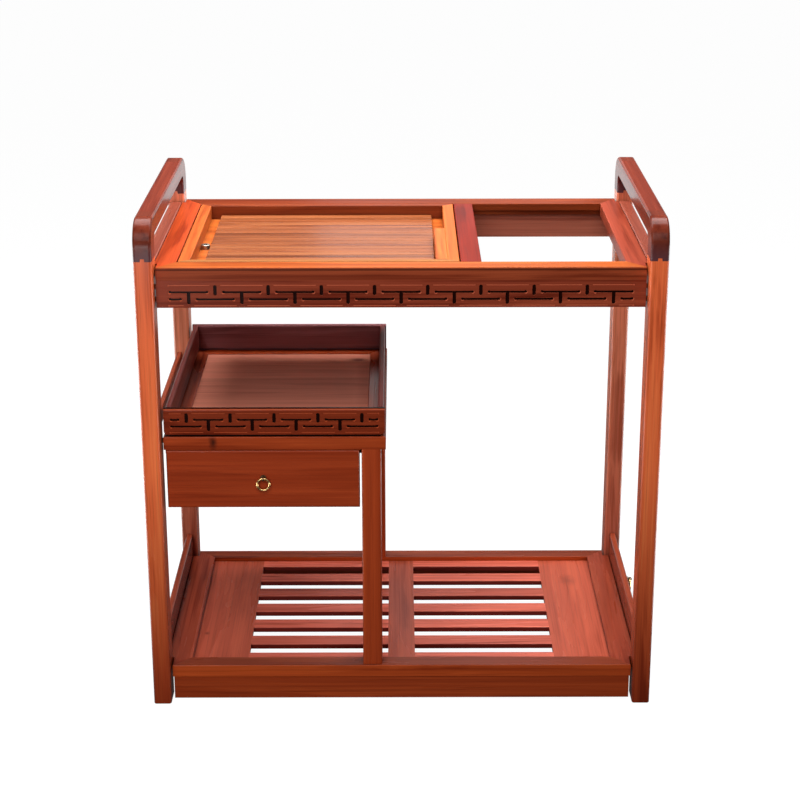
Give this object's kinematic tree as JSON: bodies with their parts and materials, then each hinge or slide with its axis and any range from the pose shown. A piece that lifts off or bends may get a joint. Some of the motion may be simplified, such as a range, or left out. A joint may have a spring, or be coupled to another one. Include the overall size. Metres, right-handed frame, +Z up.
{
  "type": "gongfu tea table",
  "caption": "Tall lacquered hardwood tea table with a lift-out drain tray, stove cut-out, hanging drawer, slatted bottom shelf and a carrying handle arch over each end.",
  "frame": {"origin": "on the floor under the middle of the table", "axes": "+X along the length towards the stove cut-out, +Y towards the back, +Z up; the drawer opens towards -Y"},
  "size_m": [0.8, 0.5, 0.798],
  "materials": {
    "lacquered_hardwood": "gloss lacquer over red-brown hardwood",
    "dark_red_hardwood": "gloss lacquer, a darker red",
    "plain_hardwood": "thin satin lacquer on inner pieces",
    "tray_hardwood": "satin, lighter orange wood",
    "brass": "polished",
    "aged_brass": "darkened"
  },
  "bodies": {
    "table": {"leg_front_left": "lacquered_hardwood", "leg_front_right": "lacquered_hardwood", "leg_back_left": "lacquered_hardwood", "leg_back_right": "lacquered_hardwood", "handle_bar_left": "lacquered_hardwood", "handle_bar_right": "lacquered_hardwood", "handle_corner_front_left": "lacquered_hardwood", "handle_corner_front_right": "lacquered_hardwood", "handle_corner_back_left": "lacquered_hardwood", "handle_corner_back_right": "lacquered_hardwood", "upper_rail_left": "lacquered_hardwood", "upper_rail_right": "lacquered_hardwood", "lower_rail_left": "lacquered_hardwood", "lower_rail_right": "lacquered_hardwood", "middle_rail_left": "lacquered_hardwood", "top_front_rail": "dark_red_hardwood", "top_back_rail": "dark_red_hardwood", "top_left_rail": "dark_red_hardwood", "top_right_rail": "dark_red_hardwood", "top_middle_rail": "dark_red_hardwood", "front_apron": "lacquered_hardwood", "back_apron": "lacquered_hardwood", "tray_cleats": "plain_hardwood", "shelf_front_rail": "dark_red_hardwood", "shelf_back_rail": "dark_red_hardwood", "shelf_left_rail": "dark_red_hardwood", "shelf_right_rail": "dark_red_hardwood", "shelf_panel": "plain_hardwood", "gallery_front": "lacquered_hardwood", "gallery_back": "lacquered_hardwood", "gallery_left": "lacquered_hardwood", "gallery_right": "lacquered_hardwood", "drawer_runners": "plain_hardwood", "shelf_posts": "lacquered_hardwood", "base_front_rail": "dark_red_hardwood", "base_back_rail": "dark_red_hardwood", "base_left_rail": "dark_red_hardwood", "base_right_rail": "dark_red_hardwood", "base_aprons": "lacquered_hardwood", "base_boards": "lacquered_hardwood", "base_slats": "lacquered_hardwood", "frame_dowels": "plain_hardwood", "rail_pull_eye": "aged_brass"},
    "drawer": {"drawer_front": "lacquered_hardwood", "drawer_sides": "plain_hardwood", "drawer_back": "plain_hardwood", "drawer_bottom": "plain_hardwood", "drawer_pull_eye": "aged_brass"},
    "drawer_ring": {"drawer_pull_ring": "brass"},
    "tea_tray": {"tray_front_rim": "tray_hardwood", "tray_back_rim": "tray_hardwood", "tray_left_rim": "tray_hardwood", "tray_right_rim": "tray_hardwood", "tray_floor": "tray_hardwood", "tray_side_strip": "tray_hardwood", "drain_outlet": "brass"},
    "drain_board": {"drain_slats": "tray_hardwood", "drain_bearers": "tray_hardwood"},
    "rail_ring": {"rail_pull_ring": "brass"}
  },
  "joints": [
    {"name": "drawer_slide", "type": "slide", "parent": "table", "child": "drawer", "axis": [0, -1, 0], "range_m": [0, 0.3]},
    {"name": "drawer_ring_swing", "type": "hinge", "parent": "drawer", "child": "drawer_ring", "pos_m": [-0.2155, -0.2349, 0.3845], "axis": [-1, 0, 0], "range_deg": [0, 100]},
    {"name": "tea_tray_lift", "type": "slide", "parent": "table", "child": "tea_tray", "axis": [0, 0, 1], "range_m": [0, 0.12]},
    {"name": "drain_board_lift", "type": "slide", "parent": "tea_tray", "child": "drain_board", "axis": [0, 0, 1], "range_m": [0, 0.08]},
    {"name": "rail_ring_swing", "type": "hinge", "parent": "table", "child": "rail_ring", "pos_m": [0.3961, 0.0187, 0.097], "axis": [0, -1, 0], "range_deg": [0, 100]}
  ]
}
